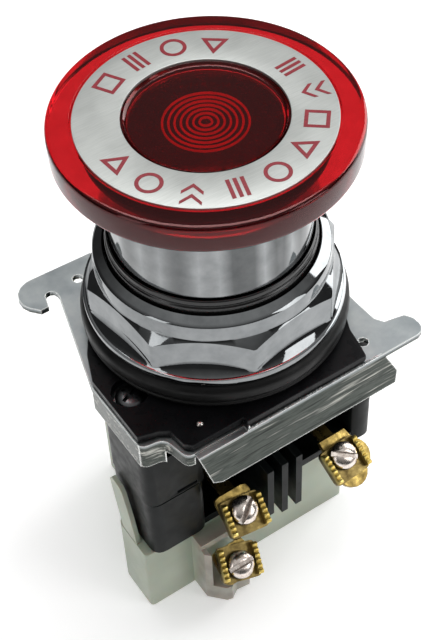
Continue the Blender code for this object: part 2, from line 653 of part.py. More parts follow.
def latch_arm(tag, turned, mat):
    """A thin arm that rises beside a screw ear of the light unit and leans back."""
    outer = CLEAR_X - 0.1
    side = [(-12.0, -38.5), (-8.2, -38.5), (-7.0, -33.8), (-5.3, -25.6), (-6.0, -24.6),
            (-8.3, -24.8), (-9.1, -25.8), (-10.6, -30.5), (-12.0, -36.9)]
    arm = prism(f"latch_arm_{tag}", side, -outer, -outer + ARM_T, mat)
    stand = Matrix(((0, 0, 1, 0), (1, 0, 0, 0), (0, 1, 0, 0), (0, 0, 0, 1)))
    arm.matrix_world = Matrix.Rotation(math.pi, 4, "Z") @ stand if turned else stand
    return arm


def make_contacts(mats):
    """Two fixed contacts, each with its clamp and a tongue that ends under the bridge."""
    y, z = CONTACT_CLAMP[1:]
    top = CONTACT_TOP
    for tag, flip in (("front", False), ("back", True)):
        frame = clamp_matrix(CONTACT_CLAMP, flip)
        make_clamp(tag, frame, mats)
        strip = terminal_plate(f"fixed_contact_{tag}", tag, frame, mats)
        riser = box(f"contact_riser_{tag}", (-9.1, y + 3.4, z - 0.1), (-8.1, y + 4.4, top),
                    mats["brass"])
        tongue = box(f"contact_tongue_{tag}", (-9.1, y + 3.4, top - 0.8), (-6.9, -3.6, top),
                     mats["brass"])
        if flip:
            riser.rotation_euler = tongue.rotation_euler = (0, 0, math.pi)
        join(strip, riser, tongue)


def make_carrier(mats):
    """The spring-loaded plunger of the contact block, with its bridge, spring and pusher."""
    shoulder = BRIDGE_TOP + GAP
    carrier = [(0, -38.3), (3.4, -38.3), (3.4, shoulder), (2.2, shoulder), (2.2, -45.0),
               (0, -45.0)]
    lathe("contact_carrier", carrier, mats["red_nylon"], 20)
    bridge = prism("contact_bridge", rounded([(-9.6, -2.0), (9.6, -2.0), (9.6, 2.0), (-9.6, 2.0)],
                   1.0, 2), BRIDGE_TOP - BRIDGE_T, BRIDGE_TOP, mats["silvered_copper"],
                   [circle(2.5, count=16)])
    bridge.rotation_euler = (0, 0, math.atan2(5.2, 8.0))
    spring_coil("contact_spring", SPRING_R, SPRING_WIRE, BRIDGE_TOP - BRIDGE_T - GAP,
                CLEAR_BOTTOM + CLEAR_FLOOR + GAP, SPRING_TURNS, mats["spring_steel"])

    ring_top = TUBE_BOTTOM - GAP
    ring = prism("pusher_frame", circle(10.6, count=32), ring_top - 1.4, ring_top,
                 mats["white_nylon"], [circle(6.6, count=24)])
    legs = [box(f"pusher_leg_{i}", (x, -3.0, -38.0), (x + 1.6, 3.0, ring_top - 0.5),
                mats["white_nylon"]) for i, x in enumerate((8.9, -10.5))]
    bar = box("pusher_bar", (-10.5, -3.0, -38.0), (10.5, 3.0, -36.9), mats["white_nylon"])
    join(ring, bar, *legs)


def spring_coil(name, radius, wire, top, bottom, turns, mat):
    """A round-wire compression spring as one closed tube along a helix."""
    per_turn, sides = 12, 5
    count = int(turns * per_turn)
    verts = []
    for i in range(count + 1):
        a = math.tau * i / per_turn
        z = bottom + wire + (top - bottom - 2 * wire) * i / count
        for k in range(sides):
            b = math.tau * k / sides
            r = radius + wire * math.cos(b)
            verts.append((r * math.cos(a), r * math.sin(a), z + wire * math.sin(b)))
    faces = [list(range(sides)), [count * sides + k for k in range(sides)]]
    for i in range(count):
        for k in range(sides):
            j = (k + 1) % sides
            one, two = i * sides, (i + 1) * sides
            faces.append([one + k, one + j, two + j, two + k])
    return add_object(name, verts, faces, mat, 60)


def main():
    for obj in list(bpy.data.objects):
        bpy.data.objects.remove(obj, do_unlink=True)
    mats = {
        "red_lens": material("red_lens", (0.62, 0.01, 0.02), 0.08, 0.0, 0.6),
        "dark_red": material("dark_red", (0.30, 0.01, 0.02), 0.2, 0.0, 0.4),
        "satin_silver": material("satin_silver", (0.72, 0.74, 0.73), 0.35, 0.6),
        "chrome": material("chrome", (0.75, 0.76, 0.76), 0.08, 1.0),
        "zinc_casting": material("zinc_casting", (0.55, 0.56, 0.57), 0.35, 1.0),
        "zinc_steel": material("zinc_steel", (0.60, 0.61, 0.60), 0.35, 1.0),
        "spring_steel": material("spring_steel", (0.50, 0.50, 0.50), 0.3, 1.0),
        "bright_steel": material("bright_steel", (0.80, 0.78, 0.74), 0.25, 1.0),
        "brass": material("brass", (0.72, 0.56, 0.20), 0.35, 1.0),
        "silvered_copper": material("silvered_copper", (0.80, 0.62, 0.50), 0.3, 1.0),
        "rubber": material("rubber", (0.02, 0.02, 0.02), 0.6),
        "black_plastic": material("black_plastic", (0.02, 0.02, 0.022), 0.4),
        "phenolic": material("phenolic", (0.02, 0.022, 0.024), 0.45),
        "white_nylon": material("white_nylon", (0.75, 0.74, 0.70), 0.5),
        "red_nylon": material("red_nylon", (0.55, 0.03, 0.03), 0.5),
        "lamination": material("lamination", (0.18, 0.19, 0.20), 0.5, 0.8),
        "copper_winding": material("copper_winding", (0.60, 0.25, 0.10), 0.4, 0.8),
        "clear_glass": material("clear_glass", (0.9, 0.9, 0.88), 0.02, 0.0, 1.0),
        "clear_plastic": material("clear_plastic", (0.62, 0.68, 0.62), 0.25, 0.0, 0.6),
    }
    make_head(mats)
    make_bushing(mats)
    make_nut(mats)
    make_gasket(mats)
    make_base(mats)
    make_plate(mats)
    make_ear_screws(mats)
    make_light_housings(mats)
    make_transformer(mats)
    make_lamp(mats)
    make_terminals(mats)
    make_contact_block(mats)
    make_contacts(mats)
    make_carrier(mats)


main()
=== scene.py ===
import json
import math
import random

import bmesh
import bpy
from mathutils import Matrix, Vector
from mathutils.geometry import tessellate_polygon


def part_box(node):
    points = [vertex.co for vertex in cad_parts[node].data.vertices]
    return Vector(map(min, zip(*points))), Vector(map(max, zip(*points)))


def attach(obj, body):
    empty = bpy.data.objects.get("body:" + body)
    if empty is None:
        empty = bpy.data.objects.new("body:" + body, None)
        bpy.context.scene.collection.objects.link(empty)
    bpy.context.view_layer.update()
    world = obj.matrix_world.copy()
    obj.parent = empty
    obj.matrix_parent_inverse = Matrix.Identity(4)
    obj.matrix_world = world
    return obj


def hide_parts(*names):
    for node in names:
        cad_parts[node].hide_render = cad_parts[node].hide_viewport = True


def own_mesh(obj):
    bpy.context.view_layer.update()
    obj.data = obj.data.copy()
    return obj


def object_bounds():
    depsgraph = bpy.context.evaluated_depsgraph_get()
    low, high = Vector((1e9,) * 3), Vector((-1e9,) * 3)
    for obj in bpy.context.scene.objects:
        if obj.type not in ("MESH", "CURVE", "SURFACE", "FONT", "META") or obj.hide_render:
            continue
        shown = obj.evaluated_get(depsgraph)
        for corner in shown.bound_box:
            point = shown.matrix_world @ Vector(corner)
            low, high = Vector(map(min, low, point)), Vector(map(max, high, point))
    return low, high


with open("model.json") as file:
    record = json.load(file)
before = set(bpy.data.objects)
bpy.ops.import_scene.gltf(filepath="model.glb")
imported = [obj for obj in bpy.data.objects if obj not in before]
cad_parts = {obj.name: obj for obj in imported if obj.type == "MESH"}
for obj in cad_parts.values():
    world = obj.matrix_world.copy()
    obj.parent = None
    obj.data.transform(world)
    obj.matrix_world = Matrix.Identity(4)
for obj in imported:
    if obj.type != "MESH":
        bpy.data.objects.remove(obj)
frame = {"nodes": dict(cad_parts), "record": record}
CAD_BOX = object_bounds()

MM = 0.001


def node_mm(name):
    """Lowest and highest corner of a CAD node in millimetres."""
    low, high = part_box(name)
    return Vector(low) / MM, Vector(high) / MM


# ---- sizes read from the frame, mm ------------------------------------------------------
LENS_LOW, LENS_HIGH = node_mm("mushroom_lens")
RING_HIGH = node_mm("legend_ring")[1]
WASHER_LOW, WASHER_HIGH = node_mm("lens_seal")
SKIRT_LOW, SKIRT_HIGH = node_mm("plunger_skirt")
NUT_HIGH = node_mm("retaining_nut")[1]
SEAL_LOW, SEAL_HIGH = node_mm("wiper_seal")
GASKET_LOW, GASKET_HIGH = node_mm("panel_gasket")
CARRIER_HIGH = node_mm("operator_base")[1]
PLATE_LOW, PLATE_HIGH = node_mm("latch_plate")
COVER_LOW = node_mm("light_unit_cover")[0]
BLOCK_LOW = node_mm("contact_block")[0]
SPRING_LOW, SPRING_HIGH = node_mm("contact_spring")

HEAD_R = LENS_HIGH.x
HEAD_TOP = LENS_HIGH.z
LENS_UNDER = WASHER_HIGH.z + 0.3       # underside of the lens rim
RING_OUT = RING_HIGH.x
RING_IN = 11.8
STEM_R = 13.4                          # hub under the lens
STEM_IN = 11.2
SKIRT_R = SKIRT_HIGH.x
SKIRT_IN = 13.85
SHARP_ANGLE = 35                       # degrees, above which an edge is shaded sharp
BEVEL_ANGLE = 38                       # degrees, above which an edge is rounded
COLLAR_R = 18.1                        # retaining nut
NUT_BORE = 15.25
GASKET_IN = 15.3

CLAMP_TILT = math.radians(35)
CLAMP_TURNS = {"x1": -7, "x2": 4, "front": -15, "back": -15}          # degrees
SADDLE_SHIFTS = {"x1": -0.7, "x2": -0.9, "front": 0.4, "back": 0.4}
CLAMP_SPOTS = {"x1": (-9.5, -20.3, -30.0), "x2": (10.1, -20.8, -30.3),
               "front": (-11.0, -21.0, -44.2), "back": (-11.0, -21.0, -44.2)}
SLOT_ANGLES = {"x1": 48, "x2": -38, "front": 15, "back": -25}
EAR_SCREW = (-20.2, -7.0)


# ---- node helpers -----------------------------------------------------------------------
class Surface:
    """A Principled material whose varying inputs come from procedural nodes."""

    def __init__(self, name, **values):
        self.mat = bpy.data.materials.new(name)
        self.mat.use_nodes = True
        self.nodes = self.mat.node_tree.nodes
        self.links = self.mat.node_tree.links
        self.shader = self.nodes["Principled BSDF"]
        for key, value in values.items():
            self.shader.inputs[key.replace("_", " ")].default_value = value

    def coords(self, stretch=(1, 1, 1), turn=0.0):
        """The object's own coordinates in millimetres, optionally stretched and turned about Z."""
        source = self.nodes.new("ShaderNodeTexCoord")
        mapping = self.nodes.new("ShaderNodeMapping")
        mapping.inputs["Scale"].default_value = [s / MM for s in stretch]
        mapping.inputs["Rotation"].default_value = (0, 0, turn)
        self.links.new(source.outputs["Object"], mapping.inputs["Vector"])
        return mapping.outputs["Vector"]

    def noise(self, scale, detail=3.0, rough=0.5, stretch=(1, 1, 1), turn=0.0):
        node = self.nodes.new("ShaderNodeTexNoise")
        node.inputs["Scale"].default_value = scale
        node.inputs["Detail"].default_value = detail
        node.inputs["Roughness"].default_value = rough
        self.links.new(self.coords(stretch, turn), node.inputs["Vector"])
        return node.outputs["Fac"]

    def voronoi(self, scale, stretch=(1, 1, 1)):
        node = self.nodes.new("ShaderNodeTexVoronoi")
        node.inputs["Scale"].default_value = scale
        self.links.new(self.coords(stretch), node.inputs["Vector"])
        return node.outputs["Distance"]

    def ramp(self, fac, *stops):
        """A colour ramp: stops are (position, grey or rgb)."""
        node = self.nodes.new("ShaderNodeValToRGB")
        elements = node.color_ramp.elements
        while len(elements) < len(stops):
            elements.new(0.5)
        for element, (place, value) in zip(elements, stops):
            rgb = value if isinstance(value, tuple) else (value,) * 3
            element.position = place
            element.color = (*rgb, 1.0)
        self.links.new(fac, node.inputs["Fac"])
        return node.outputs["Color"]

    def mix(self, fac, one, two, blend="MIX"):
        node = self.nodes.new("ShaderNodeMix")
        node.data_type = "RGBA"
        node.blend_type = blend
        if isinstance(fac, float):
            node.inputs[0].default_value = fac
        else:
            self.links.new(fac, node.inputs[0])
        for socket, value in ((node.inputs[6], one), (node.inputs[7], two)):
            if isinstance(value, tuple):
                socket.default_value = (*value, 1.0)
            else:
                self.links.new(value, socket)
        return node.outputs[2]

    def drive(self, **outputs):
        for key, output in outputs.items():
            self.links.new(output, self.shader.inputs[key.replace("_", " ")])

    def bump(self, *layers):
        """Stack bump layers, each (height, strength, distance in mm)."""
        normal = None
        for height, strength, distance in layers:
            node = self.nodes.new("ShaderNodeBump")
            node.inputs["Strength"].default_value = strength
            node.inputs["Distance"].default_value = distance * MM
            self.links.new(height, node.inputs["Height"])
            if normal is not None:
                self.links.new(normal, node.inputs["Normal"])
            normal = node.outputs["Normal"]
        self.links.new(normal, self.shader.inputs["Normal"])

    def between(self, axis, none, full):
        """0 where the object's own coordinate is none mm, rising to 1 where it is full mm."""
        split = self.nodes.new("ShaderNodeSeparateXYZ")
        self.links.new(self.coords(), split.inputs[0])
        scale = self.nodes.new("ShaderNodeMapRange")
        scale.inputs["From Min"].default_value = none
        scale.inputs["From Max"].default_value = full
        self.links.new(split.outputs[axis], scale.inputs["Value"])
        return scale.outputs["Result"]

    def edge_wear(self, radius=0.35):
        """1 near convex edges, 0 on flat faces, from the shading normal's change under a bevel."""
        bevel = self.nodes.new("ShaderNodeBevel")
        bevel.samples = 4
        bevel.inputs["Radius"].default_value = radius * MM
        geometry = self.nodes.new("ShaderNodeNewGeometry")
        dot = self.nodes.new("ShaderNodeVectorMath")
        dot.operation = "DOT_PRODUCT"
        self.links.new(bevel.outputs["Normal"], dot.inputs[0])
        self.links.new(geometry.outputs["Normal"], dot.inputs[1])
        invert = self.nodes.new("ShaderNodeMath")
        invert.operation = "SUBTRACT"
        invert.inputs[0].default_value = 1.0
        self.links.new(dot.outputs["Value"], invert.inputs[1])
        return invert.outputs["Value"]


# ---- materials --------------------------------------------------------------------------
def red_lens():
    """Clear red acrylic with a little body colour, scuffed on its surface."""
    s = Surface("red_lens", Transmission_Weight=0.97, IOR=1.49, Specular_IOR_Level=0.3,
                Specular_Tint=(1.0, 0.5, 0.5, 1))
    scuff = s.noise(0.35, 4)
    s.drive(Base_Color=s.ramp(scuff, (0.3, (0.37, 0.003, 0.006)), (0.8, (0.46, 0.006, 0.010))),
            Roughness=s.ramp(scuff, (0.35, 0.02), (0.75, 0.08)))
    s.bump((s.noise(0.25, 2), 0.25, 0.05), (s.noise(9.0, 2, 0.6, (1, 6, 1), 0.6), 0.04, 0.01))
    return s.mat


def glowing_red_step():
    """Moulded rings under the window, with a painted red glow: they emit light though they are no lamp."""
    # The emission here is painted light: a red glow that brightens the rings.
    s = Surface("glowing_red_step", Specular_IOR_Level=0.6, Emission_Color=(0.9, 0.03, 0.03, 1),
                Emission_Strength=0.55)
    s.drive(Base_Color=s.ramp(s.noise(0.8, 3), (0.3, (0.80, 0.04, 0.05)), (0.7, (0.95, 0.07, 0.08))),
            Roughness=s.ramp(s.noise(1.5, 3), (0.3, 0.15), (0.7, 0.35)))
    s.bump((s.noise(3.0, 3), 0.1, 0.03))
    return s.mat


def red_diffuser():
    # Nearly black base colour: painted shade inside the lamp below the window.
    s = Surface("red_diffuser", Transmission_Weight=0.3, IOR=1.49)
    s.drive(Base_Color=s.ramp(s.noise(0.5, 3), (0.3, (0.008, 0.001, 0.002)), (0.8, (0.022, 0.002, 0.003))),
            Roughness=s.ramp(s.noise(1.2, 3), (0.3, 0.18), (0.7, 0.30)))
    s.bump((s.noise(1.5, 3), 0.15, 0.05))
    return s.mat


def legend_plate():
    s = Surface("legend_plate", Metallic=0.5, Specular_IOR_Level=0.5)
    brush = s.noise(2.2, 4, 0.6, (0.12, 3.5, 1), 0.9)
    s.drive(Base_Color=s.ramp(brush, (0.2, (0.37, 0.385, 0.37)), (0.8, (0.51, 0.525, 0.505))),
            Roughness=s.ramp(s.noise(0.3, 3), (0.3, 0.34), (0.7, 0.44)))
    s.bump((brush, 0.12, 0.02))
    return s.mat


def legend_ink():
    s = Surface("legend_ink")
    s.drive(Base_Color=s.ramp(s.noise(3.0, 3), (0.3, (0.17, 0.006, 0.014)), (0.7, (0.25, 0.011, 0.022))),
            Roughness=s.ramp(s.noise(1.5, 3), (0.3, 0.35), (0.7, 0.5)))
    s.bump((s.noise(4.0, 3), 0.1, 0.01))
    return s.mat


def chrome(name, dark, light, reflection_bands=None):
    """Bright plating: clouded, pitted here and there, slightly wavy; optional stripes of painted reflection
    run along Z.
    """
    s = Surface(name, Metallic=1.0)
    cloud = s.noise(0.32, 5, 0.6)
    pitted = s.ramp(s.voronoi(1.1), (0.0, 0.35), (0.06, 1.0))
    middle = tuple((a + b) / 2 for a, b in zip(dark, light))
    tone = s.ramp(cloud, (0.25, dark), (0.55, middle), (0.9, light))
    if reflection_bands:
        # Dark vertical stripes multiplied into the colour: painted reflection of the studio surroundings.
        streak = s.ramp(s.noise(0.12, 0, 0.5, (1, 1, 0.02)), (0.32, reflection_bands), (0.45, 1.0), (0.56, reflection_bands),
                        (0.68, 1.0))
        tone = s.mix(1.0, tone, streak, "MULTIPLY")
    s.drive(Base_Color=s.mix(1.0, tone, pitted, "MULTIPLY"),
            Roughness=s.ramp(s.noise(0.9, 6, 0.65), (0.3, 0.03), (0.6, 0.06), (0.85, 0.16)))
    s.bump((s.noise(0.16, 2), 0.35, 0.12), (s.noise(4.0, 3, 0.6), 0.05, 0.02), (pitted, 0.25, 0.02))
    return s.mat


def metal(name, dark, light, rough=(0.25, 0.5), scale=0.6, stretch=(1, 1, 1)):
    """A plain metal with stains, uneven gloss and a fine grain, optionally drawn out."""
    s = Surface(name, Metallic=1.0)
    cloud = s.noise(scale, 5, 0.6, stretch)
    fine = s.noise(6.0, 3, 0.6, stretch)
    tone = s.ramp(cloud, (0.3, dark), (0.7, light))
    s.drive(Base_Color=s.mix(0.25, tone, s.ramp(fine, (0.3, dark), (0.7, light))),
            Roughness=s.ramp(cloud, (0.3, rough[1]), (0.7, rough[0])))
    s.bump((cloud, 0.12, 0.05), (fine, 0.12, 0.02))
    return s.mat


def plated_steel():
    """Zinc plate: satin on top; long bright and dark streaks on the folded flanges, partly drawing marks and
    partly painted reflection, in a tone kept dark as painted shade.
    """
    s = Surface("plated_steel", Metallic=1.0)
    blotch = s.noise(0.22, 4, 0.6)
    satin = s.ramp(blotch, (0.3, (0.25, 0.275, 0.285)), (0.7, (0.36, 0.38, 0.38)))
    streak = s.noise(1.3, 4, 0.6, (0.05, 0.6, 1.0))
    # Flange tone: drawing streaks mixed with painted reflection streaks, kept very dark as painted shade.
    drawn = s.ramp(streak, (0.34, (0.016, 0.019, 0.017)), (0.46, (0.075, 0.084, 0.075)),
                   (0.55, (0.036, 0.042, 0.038)), (0.72, (0.46, 0.46, 0.42)))
    flange = s.between("Z", PLATE_HIGH.z - 0.25, PLATE_HIGH.z - 0.75)
    wear = s.ramp(s.edge_wear(0.35), (0.03, 0.0), (0.16, 1.0))
    tone = s.mix(flange, satin, drawn)
    s.drive(Base_Color=s.mix(wear, tone, (0.88, 0.89, 0.87)),
            Roughness=s.mix(flange, s.ramp(blotch, (0.3, 0.34), (0.7, 0.46)),
                            s.ramp(streak, (0.3, 0.16), (0.7, 0.30))))
    s.bump((streak, 0.10, 0.04), (s.noise(5.0, 3), 0.12, 0.02))
    return s.mat


def plastic(name, dark, light, rough=(0.3, 0.45), grain=(5.0, 0.12), worn=None, **values):
    """Moulded plastic: slight colour drift, uneven gloss, a fine moulded grain, rubbed edges."""
    s = Surface(name, **values)
    tone = s.ramp(s.noise(0.25, 4), (0.3, dark), (0.7, light))
    if worn:
        tone = s.mix(s.ramp(s.edge_wear(0.3), (0.04, 0.0), (0.3, 1.0)), tone, worn)
    s.drive(Base_Color=tone, Roughness=s.ramp(s.noise(0.6, 4), (0.3, rough[0]), (0.7, rough[1])))
    s.bump((s.noise(0.12, 2), 0.2, 0.1), (s.noise(grain[0], 3, 0.6), grain[1], 0.03))
    return s.mat


def clear_plastic():
    """Milky green-grey housing, warmer and darker on the shelves that hold the clamps."""
    s = Surface("clear_plastic", Transmission_Weight=0.22, IOR=1.45, Subsurface_Weight=0.25,
                Subsurface_Scale=2.0 * MM)
    milky = s.ramp(s.noise(0.10, 2), (0.3, (0.44, 0.49, 0.39)), (0.7, (0.58, 0.63, 0.51)))
    shelf = s.ramp(s.noise(0.35, 3), (0.3, (0.36, 0.33, 0.28)), (0.7, (0.52, 0.50, 0.43)))
    s.drive(Base_Color=s.mix(s.between("Y", BLOCK_LOW.y + 6.6, BLOCK_LOW.y + 4.6), milky, shelf),
            Roughness=s.ramp(s.noise(0.4, 3), (0.3, 0.30), (0.7, 0.46)))
    s.bump((s.noise(0.08, 2), 0.15, 0.08), (s.noise(4.0, 2), 0.02, 0.02))
    return s.mat


def brass():
    """Yellow brass, darkened by painted shade low down between the wings, with bright ridges."""
    s = Surface("brass", Metallic=1.0)
    cloud = s.noise(0.7, 5, 0.65)
    tone = s.ramp(cloud, (0.3, (0.40, 0.27, 0.07)), (0.5, (0.66, 0.50, 0.14)), (0.75, (0.82, 0.68, 0.26)))
    # Painted shade: a dark brown for the saddle low down between its wings.
    shaded_low = s.ramp(cloud, (0.3, (0.10, 0.07, 0.03)), (0.7, (0.26, 0.19, 0.07)))
    s.drive(Base_Color=s.mix(s.between("Z", 1.1, 0.45), tone, shaded_low),
            Roughness=s.ramp(cloud, (0.3, 0.46), (0.7, 0.24)))
    s.bump((s.noise(1.6, 4), 0.2, 0.05), (s.noise(8.0, 3), 0.1, 0.02))
    return s.mat


def screw_steel():
    """Pale pinkish screw heads, with painted shade darkening the slot and round the foot."""
    s = Surface("screw_steel", Metallic=1.0)
    cloud = s.noise(0.9, 4, 0.6)
    tone = s.ramp(cloud, (0.3, (0.62, 0.52, 0.46)), (0.7, (0.92, 0.86, 0.80)))
    # Painted shade: the colour fades to near black from 1.9 mm down to 1.3 mm in the screw's own frame, in
    # the slot and under the head.
    s.drive(Base_Color=s.mix(s.between("Z", 1.9, 1.3), tone, (0.05, 0.042, 0.035)),
            Roughness=s.ramp(cloud, (0.3, 0.34), (0.7, 0.16)))
    s.bump((s.noise(1.2, 3), 0.15, 0.05), (s.noise(7.0, 3), 0.1, 0.02))
    return s.mat


def glass():
    s = Surface("lamp_glass", Base_Color=(0.95, 0.95, 0.93, 1), Transmission_Weight=1.0, IOR=1.5)
    s.drive(Roughness=s.ramp(s.noise(0.5, 3), (0.3, 0.01), (0.7, 0.05)))
    s.bump((s.noise(0.4, 2), 0.1, 0.05))
    return s.mat


MATS = {
    "red_lens": red_lens(),
    "glowing_red_step": glowing_red_step(),
    "red_diffuser": red_diffuser(),
    "legend_plate": legend_plate(),
    "legend_ink": legend_ink(),
    "chrome": chrome("chrome", (0.18, 0.19, 0.195), (0.30, 0.31, 0.315)),
    # The skirt's plating, with stripes of painted reflection in its colour.
    "chrome_with_painted_bands": chrome("chrome_with_painted_bands", (0.21, 0.22, 0.225), (0.36, 0.37, 0.375), 0.40),
    "plated_steel": plated_steel(),
    "clear_plastic": clear_plastic(),
    "brass": brass(),
    "strip_brass": metal("strip_brass", (0.16, 0.11, 0.035), (0.58, 0.42, 0.13), (0.22, 0.48), 0.8),
    "screw_steel": screw_steel(),
    "lamp_glass": glass(),
    "rubber": plastic("rubber", (0.004, 0.004, 0.004), (0.008, 0.008, 0.008), (0.34, 0.52), (3.5, 0.12),
                      Specular_IOR_Level=0.18),
    "wet_rubber": plastic("wet_rubber", (0.004, 0.004, 0.004), (0.009, 0.009, 0.009), (0.10, 0.28),
                          (1.2, 0.25),
                          Specular_IOR_Level=0.5),
    "black_plastic": plastic("black_plastic", (0.003, 0.003, 0.0035), (0.007, 0.007, 0.008), (0.22, 0.38),
                             (2.0, 0.06), (0.02, 0.02, 0.022), Specular_IOR_Level=0.12),
    "phenolic": plastic("phenolic", (0.002, 0.003, 0.003), (0.006, 0.0075, 0.0075), (0.28, 0.44), (1.5, 0.1),
                        (0.020, 0.024, 0.024), Specular_IOR_Level=0.12),
    # Ear screw finish: a dark tone that stands for painted shade in the screws' pockets.
    "dark_steel": metal("dark_steel", (0.04, 0.042, 0.045), (0.16, 0.165, 0.17), (0.2, 0.45)),
    "nylon": plastic("nylon", (0.55, 0.54, 0.49), (0.66, 0.65, 0.60), (0.35, 0.5)),
    "red_nylon": plastic("red_nylon", (0.36, 0.015, 0.015), (0.50, 0.025, 0.025), (0.35, 0.5)),
    "zinc_casting": metal("zinc_casting", (0.40, 0.41, 0.42), (0.60, 0.61, 0.62), (0.3, 0.5)),
    "spring_steel": metal("spring_steel", (0.32, 0.32, 0.32), (0.55, 0.55, 0.54), (0.2, 0.4)),
    "bright_steel": metal("bright_steel", (0.52, 0.46, 0.42), (0.86, 0.82, 0.79), (0.14, 0.36), 0.9),
    "lamination": metal("lamination", (0.12, 0.12, 0.13), (0.26, 0.27, 0.28), (0.35, 0.6), 1.0, (1, 8, 1)),
    "copper_winding": metal("copper_winding", (0.40, 0.13, 0.05), (0.66, 0.27, 0.12), (0.2, 0.4), 1.0,
                            (0.4, 1, 9)),
    "silvered_copper": metal("silvered_copper", (0.52, 0.34, 0.25), (0.84, 0.74, 0.64), (0.2, 0.4)),
}


# ---- mesh helpers -----------------------------------------------------------------------
def new_object(name, verts, faces, mat, sharp=SHARP_ANGLE):
    """A mesh object from points in millimetres, with outward normals."""
    bm = bmesh.new()
    points = [bm.verts.new(Vector(v) * MM) for v in verts]
    for face in faces:
        bm.faces.new([points[i] for i in face])
    bmesh.ops.recalc_face_normals(bm, faces=bm.faces)
    mesh = bpy.data.meshes.new(name)
    bm.to_mesh(mesh)
    bm.free()
    mesh.materials.append(MATS[mat])
    mesh.shade_smooth()
    mesh.set_sharp_from_angle(angle=math.radians(sharp))
    obj = bpy.data.objects.new(name, mesh)
    bpy.context.scene.collection.objects.link(obj)
    return obj


def swept(name, profile_at, angles, mat, sharp=SHARP_ANGLE):
    """Turn a closed profile that may change with the angle. profile_at(angle) gives (r, z) points."""
    verts, count = [], 0
    for a in angles:
        profile = profile_at(a)
        count = len(profile)
        verts += [(r * math.cos(a), r * math.sin(a), z) for r, z in profile]
    steps = len(angles)
    faces = []
    for i in range(steps):
        for k in range(count):
            one, two = i * count, (i + 1) % steps * count
            j = (k + 1) % count
            faces.append((one + k, two + k, two + j, one + j))
    obj = new_object(name, verts, faces, mat, sharp)
    merge(obj)
    return obj


def merge(obj):
    """Weld the vertices that meet on the axis and drop the faces that vanish there."""
    distance = 0.0005
    bm = bmesh.new()
    bm.from_mesh(obj.data)
    bmesh.ops.remove_doubles(bm, verts=bm.verts, dist=distance * MM)
    bmesh.ops.dissolve_degenerate(bm, edges=bm.edges, dist=distance * MM)
    bmesh.ops.recalc_face_normals(bm, faces=bm.faces)
    bm.to_mesh(obj.data)
    bm.free()


def lathe(name, profile, mat, segments=160, sharp=SHARP_ANGLE):
    angles = [math.tau * i / segments for i in range(segments)]
    return swept(name, lambda _: profile, angles, mat, sharp)


def round_corners(points, steps=4):
    """Round the corners of a closed outline: a point may carry its own setback as third value."""
    result = []
    count = len(points)
    for i, point in enumerate(points):
        corner = Vector(point[:2])
        reach = point[2] if len(point) > 2 else 0.0
        if reach <= 0:
            result.append(tuple(corner))
            continue
        before = Vector(points[i - 1][:2]) - corner
        after = Vector(points[(i + 1) % count][:2]) - corner
        reach = min(reach, before.length * 0.49, after.length * 0.49)
        first = corner + before.normalized() * reach
        last = corner + after.normalized() * reach
        for k in range(steps + 1):
            t = k / steps
            spot = first * (1 - t) ** 2 + corner * 2 * t * (1 - t) + last * t ** 2
            result.append((spot.x, spot.y))
    return result


def circle(radius, count=48):
    steps = [math.radians((360 - 360 / count) * i / (count - 1)) for i in range(count)]
    return [(radius * math.cos(a), radius * math.sin(a)) for a in steps]


def prism(name, outline, low, high, mat, holes=()):
    """A flat outline with holes, extruded from low to high."""
    loops = [[tuple(p[:2]) for p in outline]] + [list(h) for h in holes]
    flat = [p for loop in loops for p in loop]
    caps = tessellate_polygon([[Vector((x, y, 0)) for x, y in loop] for loop in loops])
    n = len(flat)
    verts = [(x, y, low) for x, y in flat] + [(x, y, high) for x, y in flat]
    faces = [tri for tri in caps] + [[i + n for i in reversed(tri)] for tri in caps]
    start = 0
    for loop in loops:
        m = len(loop)
        for i in range(m):
            a, b = start + i, start + (i + 1) % m
            faces.append([a, b, b + n, a + n])
        start += m
    return new_object(name, verts, faces, mat)


def box(name, low, high, mat):
    outline = [(low[0], low[1]), (high[0], low[1]), (high[0], high[1]), (low[0], high[1])]
    return prism(name, outline, low[2], high[2], mat)


def carve(obj, *tools, operation="DIFFERENCE"):
    """Apply exact Booleans at once and remove the tools."""
    for tool in tools:
        modifier = obj.modifiers.new("bool", "BOOLEAN")
        modifier.operation = operation
        modifier.solver = "EXACT"
        modifier.object = tool
    settle(obj)
    for tool in tools:
        bpy.data.objects.remove(tool, do_unlink=True)
    return obj


def settle(obj):
    """Replace an object's mesh by its evaluated one and drop its modifiers."""
    graph = bpy.context.evaluated_depsgraph_get()
    mesh = bpy.data.meshes.new_from_object(obj.evaluated_get(graph))
    obj.modifiers.clear()
    obj.data = mesh
    mesh.shade_smooth()
    mesh.set_sharp_from_angle(angle=math.radians(SHARP_ANGLE))


def soften(obj, width, segments=3):
    """Round the edges and even out the shading of the flat faces between them."""
    bm = bmesh.new()
    bm.from_mesh(obj.data)
    bmesh.ops.remove_doubles(bm, verts=bm.verts, dist=0.002 * MM)
    bmesh.ops.dissolve_limit(bm, angle_limit=math.radians(1.0), verts=bm.verts, edges=bm.edges)
    bm.to_mesh(obj.data)
    bm.free()
    modifier = obj.modifiers.new("soft edges", "BEVEL")
    modifier.width = width * MM
    modifier.segments = segments
    modifier.limit_method = "ANGLE"
    modifier.angle_limit = math.radians(BEVEL_ANGLE)
    modifier.use_clamp_overlap = True
    settle(obj)
    even = obj.modifiers.new("even shading", "WEIGHTED_NORMAL")
    even.keep_sharp = True
    graph = bpy.context.evaluated_depsgraph_get()
    mesh = bpy.data.meshes.new_from_object(obj.evaluated_get(graph))
    obj.modifiers.clear()
    obj.data = mesh
    return obj


